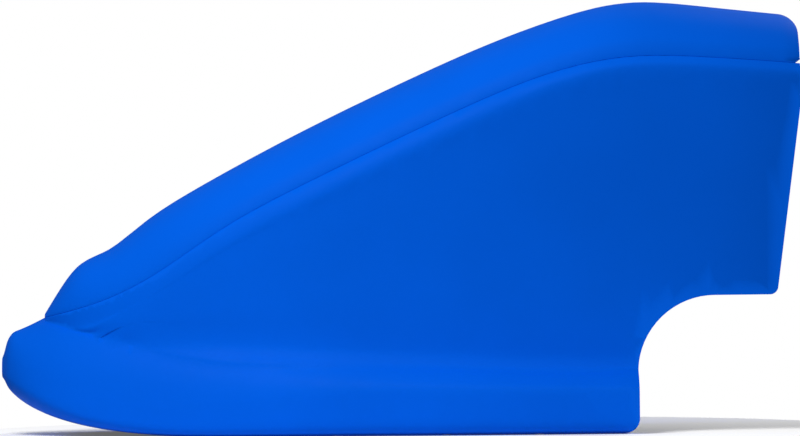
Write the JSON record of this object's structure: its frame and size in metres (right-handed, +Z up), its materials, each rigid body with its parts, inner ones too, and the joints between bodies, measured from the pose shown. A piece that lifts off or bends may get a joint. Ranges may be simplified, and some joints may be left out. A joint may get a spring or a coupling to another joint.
{
  "type": "radio-controlled jet boat",
  "caption": "Small jet-drive model boat with a stepped blue topside, rear-hinged canopy, steering nozzle and trim tabs.",
  "frame": {"origin": "under the middle of the hull, on the surface the boat stands on", "axes": "+X aft, +Y to starboard, +Z up; the bow points along -X"},
  "size_m": [0.28, 0.124, 0.1501],
  "materials": {
    "shell_blue": "satin moulded",
    "pan_blue_grey": "moulded",
    "liner_black": "moulded",
    "casting_grey": "cast and bead blasted",
    "nylon_black": "glass-filled nylon",
    "steel": "ground",
    "screw_steel": "plated",
    "brass": "turned",
    "motor_can": "rolled can",
    "jacket_aluminium": "anodised",
    "seal_rubber": "soft",
    "foam": "closed-cell foam",
    "block_foam": "expanded foam",
    "tray_plastic": "moulded",
    "pack_wrap": "shrink sleeve",
    "strap_fabric": "woven hook-and-loop",
    "case_plastic": "moulded case",
    "servo_plastic": "translucent case",
    "horn_white": "nylon",
    "switch_black": "moulded",
    "rocker_red": "moulded",
    "magnet": "nickel plated",
    "wire_red": "silicone",
    "wire_black": "silicone",
    "wire_grey": "ribbon",
    "plug_orange": "moulded",
    "fin_aluminium": "extruded"
  },
  "bodies": {
    "hull": {"main_shell": "shell_blue", "hull_pan": "pan_blue_grey", "pan_screws": "screw_steel", "catch_magnet": "magnet", "canopy_seal": "seal_rubber", "buoyancy_block": "block_foam", "jet_duct": "nylon_black", "intake_grille": "steel", "duct_screws": "screw_steel", "stuffing_tube": "brass", "stator": "casting_grey", "outlet_nozzle": "casting_grey", "nozzle_screws": "screw_steel", "motor_can": "motor_can", "motor_endbell": "nylon_black", "motor_terminals": "brass", "motor_mount": "casting_grey", "motor_screws": "screw_steel", "cooling_jacket": "jacket_aluminium", "pivot_pins": "steel", "servo_case": "servo_plastic", "servo_bracket": "tray_plastic", "servo_screws": "screw_steel", "stern_liner": "liner_black", "rod_boot": "seal_rubber", "rear_panel": "liner_black", "switch_housing": "switch_black", "hinge_brackets": "nylon_black", "hinge_pins": "steel", "battery_tray": "tray_plastic", "battery_pack": "pack_wrap", "battery_strap": "strap_fabric", "speed_controller": "case_plastic", "heat_sink": "fin_aluminium", "receiver": "case_plastic", "foam_pads": "foam", "battery_lead_red": "wire_red", "battery_lead_black": "wire_black", "motor_lead_red": "wire_red", "motor_lead_black": "wire_black", "servo_lead": "wire_grey", "receiver_lead": "wire_grey", "tab_brackets": "nylon_black", "tab_pins": "steel"},
    "canopy": {"canopy_lid": "shell_blue", "lid_knuckles": "nylon_black", "canopy_magnet": "magnet"},
    "drive_line": {"motor_shaft": "steel", "coupling": "brass", "drive_shaft": "steel", "impeller": "brass"},
    "steering": {"steering_nozzle": "nylon_black"},
    "servo_arm": {"servo_horn": "horn_white", "horn_screw": "screw_steel"},
    "steering_rod": {"push_rod": "steel"},
    "rocker": {"switch_rocker": "rocker_red"},
    "port_tab": {"tab_port": "steel"},
    "starboard_tab": {"tab_starboard": "steel"},
    "plug": {"drain_plug": "plug_orange"}
  },
  "joints": [
    {"name": "canopy_hinge", "type": "hinge", "parent": "hull", "child": "canopy", "pos_m": [0.137, 0, 0.1335], "axis": [0, 1, 0], "range_deg": [0, 70]},
    {"name": "drive_spin", "type": "hinge", "parent": "hull", "child": "drive_line", "pos_m": [0.02, 0, 0.02], "axis": [1, 0, 0], "continuous": true},
    {"name": "nozzle_steer", "type": "hinge", "parent": "hull", "child": "steering", "pos_m": [0.069, 0, 0.02], "axis": [0, 0, 1], "range_deg": [-25, 25]},
    {"name": "servo_turn", "type": "hinge", "parent": "hull", "child": "servo_arm", "pos_m": [0.028, 0.024, 0.034], "axis": [0, 0, 1], "range_deg": [-26, 26]},
    {"name": "rod_swing", "type": "hinge", "parent": "servo_arm", "child": "steering_rod", "pos_m": [0.028, 0.034, 0.0368], "axis": [0, 0, 1], "range_deg": [-26, 26]},
    {"name": "rocker_tilt", "type": "hinge", "parent": "hull", "child": "rocker", "pos_m": [0.13009, 0, 0.09584], "axis": [0, 1, 0], "range_deg": [-8, 8]},
    {"name": "port_tab_tilt", "type": "hinge", "parent": "hull", "child": "port_tab", "pos_m": [0.0624, -0.033, 0.0045], "axis": [0, 1, 0], "range_deg": [-10, 10]},
    {"name": "starboard_tab_tilt", "type": "hinge", "parent": "hull", "child": "starboard_tab", "pos_m": [0.0624, 0.033, 0.0045], "axis": [0, 1, 0], "range_deg": [-10, 10]},
    {"name": "drain_plug_pull", "type": "slide", "parent": "hull", "child": "plug", "axis": [1, 0, 0], "range_m": [0, 0.014]}
  ],
  "couplings": [
    {"joint": "servo_turn", "follows": "nozzle_steer", "ratio": 1},
    {"joint": "rod_swing", "follows": "nozzle_steer", "ratio": -1}
  ]
}
